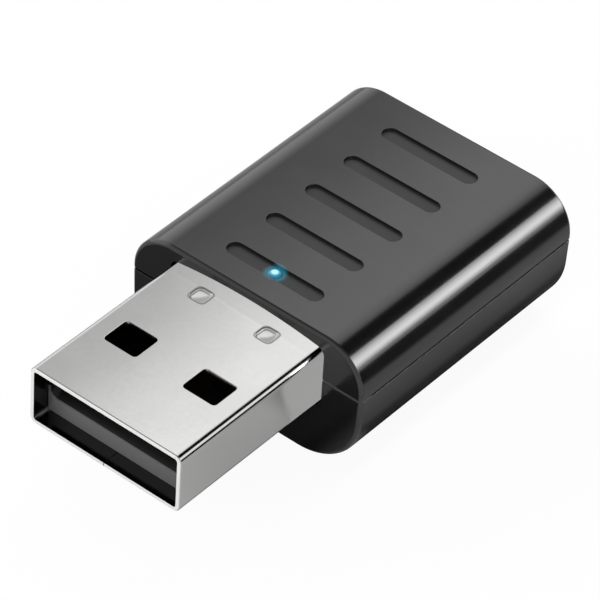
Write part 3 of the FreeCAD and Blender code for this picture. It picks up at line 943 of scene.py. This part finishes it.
def folded_tube():
    """Tube of sheet with its windows, dimples and seam, and the ears behind it."""
    outer = prism(-plug_half, plug_half, plug_tip, tube_end, plug_bottom, plug_top,
                  bend_outside, "Y", 10)
    mouth = [edge for edge in outer.edges if all(near(vert.co.y, plug_tip) for vert in edge.verts)]
    round_off(outer, mouth, mouth_round, 3)
    room = prism(-plug_half + sheet, plug_half - sheet, plug_tip - wall, tube_end + wall,
                 plug_bottom + sheet, plug_top - sheet, bend_outside - sheet, "Y", 6)
    room = combine(room, dimple_forms(plug_top - sheet), "DIFFERENCE")
    cutters = [room] + dimple_forms(plug_top) + latch_forms() + slit_forms()
    return combine(combine(outer, cutters, "DIFFERENCE"), ear_forms(), "UNION")


# %% [markdown]
# A punch leaves no knife edge either. The rims of the windows, of the dimples and of the mouth are
# picked by their place and get radii of 0.04 to 0.12 mm.

# %% Build the plug's shell
latch_round = 0.05 * MM
dimple_rim_round = 0.12 * MM
dimple_foot_round = 0.06 * MM
inner_mouth_round = 0.04 * MM


def in_mouth(co):
    """True on the inner edge of the mouth."""
    return near(co.y, plug_tip) and abs(co.x) < plug_half and plug_bottom < co.z < plug_top


def plug_shell():
    """Folded tube with rounded rims."""
    bm = folded_tube()
    round_off(bm, edges_where(bm, at_latch, 60), latch_round, 2)
    rim = edges_where(bm, lambda co: in_dimple(co, plug_top), 20)
    round_off(bm, rim, dimple_rim_round, 4)
    foot = edges_where(bm, lambda co: in_dimple(co, plug_top - dimple_deep), 20)
    round_off(bm, foot, dimple_foot_round, 3)
    round_off(bm, edges_where(bm, in_mouth, 60), inner_mouth_round, 2)
    return to_object("plug_shell", bm)


finish_piece(plug_shell(), "usb_shell", steel)

# %% [markdown]
# ## The tongue, taken over from the CAD model
# The tongue has the right shape, but a real edge is never perfectly sharp. A copy of the CAD mesh
# is merged, its flat triangles are joined into faces, and a fine bevel goes round every edge.

# %% Soften a CAD piece
def softened(name, node, width):
    """Copy of a CAD node with a fine bevel on its edges."""
    bm = bmesh.new()
    bm.from_mesh(nodes[node].data)
    bmesh.ops.remove_doubles(bm, verts=bm.verts[:], dist=0.5 * weld)
    bmesh.ops.dissolve_limit(bm, angle_limit=math.radians(1), verts=bm.verts[:], edges=bm.edges[:])
    piece = to_object(name, bm)
    edge = piece.modifiers.new("fine edge", "BEVEL")
    edge.width = width
    edge.segments = 2
    edge.limit_method = "ANGLE"
    edge.angle_limit = crease
    return piece


tongue = softened("plug_tongue", "usb_insulator", width=0.04 * MM)
finish_piece(tongue, "usb_insulator", tongue_grey)

# %% [markdown]
# ## The window
# The light pipe is a turned shape: a flange under the roof keeps it from falling out, a thin neck
# fills the hole and a low dome stands in the groove. Its half section is spun round its axis.

# %% Spin the light pipe
pipe_radius = 0.6 * MM
flange_radius = 1.0 * MM
flange_thick = 0.5 * MM
dome_steps = 6


def light_window():
    """Light pipe spun from its half section."""
    foot = window_low[2]
    crown = window_high[2]
    under_roof = housing_top - wall
    dome = crown - groove_floor
    ball = (window_radius ** 2 + dome ** 2) / (2 * dome)
    section = [(0, foot), (pipe_radius, foot), (pipe_radius, under_roof - flange_thick),
               (flange_radius, under_roof - flange_thick), (flange_radius, under_roof),
               (window_radius, under_roof), (window_radius, groove_floor)]
    for step in range(1, dome_steps + 1):
        r = window_radius * (1 - step / dome_steps)
        section.append((r, crown - ball + math.sqrt(ball ** 2 - r ** 2)))
    bm = bmesh.new()
    verts = [bm.verts.new((window_x + r, window_y, z)) for r, z in section]
    edges = [bm.edges.new(pair) for pair in zip(verts, verts[1:])]
    bmesh.ops.spin(bm, geom=verts + edges, cent=(window_x, window_y, 0), axis=(0, 0, 1),
                   angle=2 * math.pi, steps=round_steps, use_merge=True, use_duplicate=False)
    bmesh.ops.remove_doubles(bm, verts=bm.verts[:], dist=weld)
    bmesh.ops.recalc_face_normals(bm, faces=bm.faces[:])
    return to_object("light_window", bm)


finish_piece(light_window(), "light_pipe", window_clear)

# %% [markdown]
# ## Finishes of the pieces inside
# The board, the contacts and the electronics keep their CAD shapes. Each material slot gets its own
# finish, so that an opened housing looks right as well: gold on the contacts, woven laminate under
# green mask, matt chip packages, ceramic bodies and tinned ends. Each row of the table holds a
# colour, the roughness clean and handled, the grain's size, the spread of tone, the height of the
# bump, and 1.0 for a metal.

# %% Inner finishes
inner_rows = {
    "contact_gold": ("contact gold", (0.42, 0.29, 0.11), (0.25, 0.38), 0.1, 0.05, 0.001, 1.0),
    "board_laminate": ("board green", (0.012, 0.13, 0.05), (0.3, 0.42), 0.35, 0.25, 0.006),
    "solder": ("solder", (0.7, 0.71, 0.72), (0.22, 0.4), 0.2, 0.06, 0.012, 1.0),
    "chip_package": ("chip package", (0.022, 0.022, 0.024), (0.5, 0.62), 0.07, 0.2, 0.005),
    "crystal_can": ("crystal lid", (0.72, 0.68, 0.6), (0.25, 0.38), 0.15, 0.05, 0.002, 1.0),
    "ferrite": ("ferrite", (0.06, 0.06, 0.065), (0.4, 0.55), 0.06, 0.3, 0.006),
    "ceramic": ("tan ceramic", (0.45, 0.32, 0.2), (0.35, 0.5), 0.05, 0.12, 0.003),
    "resistor_body": ("resistor", (0.03, 0.03, 0.035), (0.3, 0.45), 0.05, 0.2, 0.003),
    "antenna_ceramic": ("white ceramic", (0.78, 0.78, 0.73), (0.35, 0.5), 0.06, 0.05, 0.003),
    "lamp": ("lamp epoxy", (0.75, 0.85, 0.9), (0.1, 0.18), 0.1, 0.04, 0.001),
}
finishes = {slot: finish(*row) for slot, row in inner_rows.items()}
finishes.update(housing_plastic=housing_black, light_pipe_clear=window_clear,
                plug_steel=steel, insulator_plastic=tongue_grey)
for row in frame["record"]["subparts"]:
    for holder in nodes[row["node"]].material_slots:
        holder.material = finishes[row["material_slot"]]
print("finishes:", len(finishes))

# %% [markdown]
# ## The studio
# A black satin object is drawn by what it mirrors, so the lamps are placed by their reflections.
# The room is pale on the left and in front. A near lamp above the left rear lights the top faces
# more on the right than on the left, because its edge is mirrored along them. Slim tubes close to
# the right edges of the housing and the plug give the bright line along each rounding, and two dark
# bands of the room, above and below the tubes, give the dark lines. The tubes are so close that the
# flat tops hardly mirror them. A broad lamp in front lights the mouth of the plug.

# %% Helper: a soft lamp
def soft_lamp(name, centre, facing, across, width, height, radiance):
    """Area lamp at a place in millimetres that faces against a direction."""
    light = bpy.data.lights.new(name, "AREA")
    light.shape = "RECTANGLE"
    light.size = width * MM
    light.size_y = height * MM
    light.energy = radiance * math.pi * light.size * light.size_y
    lamp = bpy.data.objects.new(name, light)
    bpy.context.scene.collection.objects.link(lamp)
    away = Vector(facing).normalized()
    long_side = away.cross(Vector(across)).normalized()
    short_side = long_side.cross(away)
    turn = Matrix((short_side, long_side, away)).transposed().to_4x4()
    lamp.matrix_world = Matrix.Translation(Vector(centre) * MM) @ turn
    print("%-14s %5.1f x %5.1f mm" % (name, width, height))
    return lamp


# %% Lamp above the left rear
soft_lamp("near top lamp", (-20.5, 79.8, 106.0), (-0.455, 0.605, 0.655), (0.816, 0, 0.574),
          width=79, height=102, radiance=0.72)

# %% [markdown]
# A tube's light is strongest in its middle. The housing's tube is a row of five strips, each as
# bright as that part of the line on the housing's edge. The plug's tube is one weak strip.

# %% Tubes on the right
tube_centre = Vector((10.05, 9.5, 9.98))
tube_facing = (0.805, 0, 0.594)
tube_across = Vector((0.594, 0, -0.805))
tube_length = 26
tube_strips = [(-1.3, -0.85, 3.2), (-0.85, -0.45, 5.5), (-0.45, 0.2, 7.0),
               (0.2, 0.55, 4.0), (0.55, 1.1, 1.1)]
for start, end, radiance in tube_strips:
    centre = tube_centre + tube_across * (start + end) / 2
    soft_lamp("housing tube", centre, tube_facing, tube_across, end - start, tube_length, radiance)
soft_lamp("plug tube", (7.2, -10.7, 9.53), (0.846, 0, 0.533), (0.533, 0, -0.846),
          width=0.96, height=12.6, radiance=0.6)

# %% [markdown]
# The front lamp only brightens matt surfaces. It isn't mirrored, or it would show as a white patch.

# %% Lamp in front
object_middle = Vector((0, 1.7, 5.5))
front_way = Vector((-0.455, -0.825, 0.3))
front_distance = 350
fill = soft_lamp("front lamp", object_middle + front_way.normalized() * front_distance, front_way,
                 (0.875, -0.48, 0), width=400, height=260, radiance=2.4)
fill.visible_glossy = False


# %% [markdown]
# The room is pale grey, white on the far left and darker overhead. A dark part on the right rear,
# with a paler band where the tubes stand, gives the dark lines beside the bright ones. To the
# camera the room is never darker than white, so the background stays plain.

# %% World
def studio_world():
    """Pale room with a dark part behind on the right."""
    world = bpy.data.worlds.new("studio")
    bpy.context.scene.world = world
    world.use_nodes = True
    tree = world.node_tree
    shade = tree.nodes["Background"]
    x, y, z = axes_of(tree, "Generated")
    slope = calculate(tree, "ARCTAN2", x, z)
    right = ramp(tree, x, -0.14, 0.06)
    behind = product(tree, ramp(tree, y, 0.15, 0.4), ramp(tree, y, 0.94, 0.82))
    band = product(tree, ramp(tree, slope, math.radians(38), math.radians(45)),
                   ramp(tree, slope, math.radians(76), math.radians(69)))
    dark = product(tree, right, behind, rest(tree, band))
    lighting = product(tree, rest(tree, dark), ramp(tree, x, -0.8, -0.5, 1.15, 0.6),
                       ramp(tree, z, 0.72, 0.86, 1.0, 0.4))
    rays = tree.nodes.new("ShaderNodeLightPath")
    strength = calculate(tree, "MAXIMUM", lighting, rays.outputs["Is Camera Ray"])
    feed(shade.inputs["Strength"], strength)
    shade.inputs["Color"].default_value = (1, 1, 1, 1)
    print("room:", world.name)


studio_world()


# %% [markdown]
# The floor is white for the camera, as the paper in the photograph is, and keeps a faint shadow.
# For every other ray it is pale paper that the lamps light, so that the steel mirrors a floor with
# the object's real shadow on it. Painted shade darkens the paper under the object, close beside it
# on the right and in front on its left, and dark card lies far out on the right rear: black plastic
# gets its dark front and dark lines from there.

# %% Tone of the paper in mirrors
def mixed(tree, amount, first, second):
    """Value between two values."""
    return calculate(tree, "ADD", product(tree, first, rest(tree, amount)),
                     product(tree, second, amount))


def paper_tone(tree):
    """Pale paper with painted shade under the object, beside it and in front on its left, and dark
    card far on its right.
    """
    x, y = axes_of(tree)[:2]
    # Painted shade: the paper is darkened under the object and in front on its left, where its
    # shadow falls.
    front_left_shade = product(tree, ramp_mm(tree, x, -20, -17), ramp_mm(tree, y, -22, -19),
                         ramp_mm(tree, y, 2, -3))
    shade_under_object = product(tree, ramp_mm(tree, x, -13, -10), ramp_mm(tree, y, -3, 2),
                         ramp_mm(tree, y, 22, 18))
    painted_patch = calculate(tree, "MAXIMUM", front_left_shade, shade_under_object)
    front_left_shade_tone = product(tree, front_left_shade, rest(tree, shade_under_object), 0.2)
    white_paper = product(tree, rest(tree, painted_patch), 0.75)
    left_side = calculate(tree, "ADD", front_left_shade_tone, white_paper)
    # Painted shade: the paper is darker close beside the plug and the housing on the right.
    by_plug = ramp_mm(tree, x, 5, 8, 0.06, 0.97)
    by_housing = ramp_mm(tree, x, 9.5, 14, 0.12, 0.8)
    by_both = mixed(tree, ramp_mm(tree, y, -3, 0), by_plug, by_housing)
    far_card = product(tree, ramp_mm(tree, x, 22, 36, 0.0, 0.95), ramp_mm(tree, y, 8, 16))
    right_side = product(tree, by_both, rest(tree, far_card))
    return mixed(tree, ramp_mm(tree, x, 4, 6), left_side, right_side)


# %% [markdown]
# From below the floor is clear, also for the rays that go on from there, so that the underside can
# be looked at and mirrors the room. The sheet lies a hair below the object, because two faces in
# one plane show through each other.

# %% Floor
floor_size = 3.0
floor_below = 0.02 * MM
floor_white = 0.93
shadow_grey = (0.1, 0.1, 0.1, 1)


def paper_material():
    """White to the camera, toned paper to other rays, and clear from below."""
    material = bpy.data.materials.new("white paper")
    material.use_nodes = True
    tree = material.node_tree
    tree.nodes.remove(tree.nodes["Principled BSDF"])
    rays = tree.nodes.new("ShaderNodeLightPath")
    side = tree.nodes.new("ShaderNodeNewGeometry")
    paper = tree.nodes.new("ShaderNodeBsdfDiffuse")
    feed(paper.inputs["Color"], paper_tone(tree))
    faint = add(tree, "ShaderNodeBsdfDiffuse", Color=shadow_grey)
    white = add(tree, "ShaderNodeEmission", Color=(1, 1, 1, 1), Strength=floor_white)
    clear = tree.nodes.new("ShaderNodeBsdfTransparent")
    seen = tree.nodes.new("ShaderNodeAddShader")
    feed(seen.inputs[0], faint.outputs[0])
    feed(seen.inputs[1], white.outputs[0])
    above = either(tree, rays.outputs["Is Camera Ray"], paper.outputs[0], seen.outputs[0])
    passed = calculate(tree, "GREATER_THAN", rays.outputs["Transparent Depth"], 0.5)
    below = calculate(tree, "MAXIMUM", side.outputs["Backfacing"], passed)
    shown = either(tree, below, above, clear.outputs[0])
    feed(tree.nodes["Material Output"].inputs["Surface"], shown)
    return material


def paper_floor():
    """Large sheet of paper under the object."""
    bm = bmesh.new()
    bmesh.ops.create_grid(bm, x_segments=1, y_segments=1, size=floor_size,
                          matrix=Matrix.Translation((0, 0, -floor_below)))
    sheet_of_paper = to_object("paper_floor", bm)
    sheet_of_paper.data.materials.append(paper_material())
    print("floor:", sheet_of_paper.name)


paper_floor()

# %% [markdown]
# ## The camera
# The photograph was taken with a long lens from the right front and from above, with the camera
# rolled by a few degrees. The angles below were found by fitting a camera to the plug's corners.

# %% Directions of the camera
azimuth = math.radians(37.444)
elevation = math.radians(41.483)
roll = math.radians(3.687)
back = Vector((math.sin(azimuth) * math.cos(elevation),
               -math.cos(azimuth) * math.cos(elevation),
               math.sin(elevation)))
right = (-back).cross(Vector((0, 0, 1))).normalized()
up = right.cross(-back)
turned_right = math.cos(roll) * right + math.sin(roll) * up
turned_up = -math.sin(roll) * right + math.cos(roll) * up

# %% Camera
camera_target = Vector((-0.299, 1.698, 5.461)) * MM
camera_distance = 279.637 * MM

view = bpy.data.cameras.new("photo camera")
view.sensor_width = 36
view.lens = 268.886
view.clip_start = 0.01
view.clip_end = 10
camera = bpy.data.objects.new("photo camera", view)
bpy.context.scene.collection.objects.link(camera)
pose = Matrix((turned_right, turned_up, back)).transposed().to_4x4()
camera.matrix_world = Matrix.Translation(camera_target + back * camera_distance) @ pose
bpy.context.scene.camera = camera
bpy.context.scene.view_settings.view_transform = "Standard"
print("camera:", round(camera_distance / MM), "mm from the object")
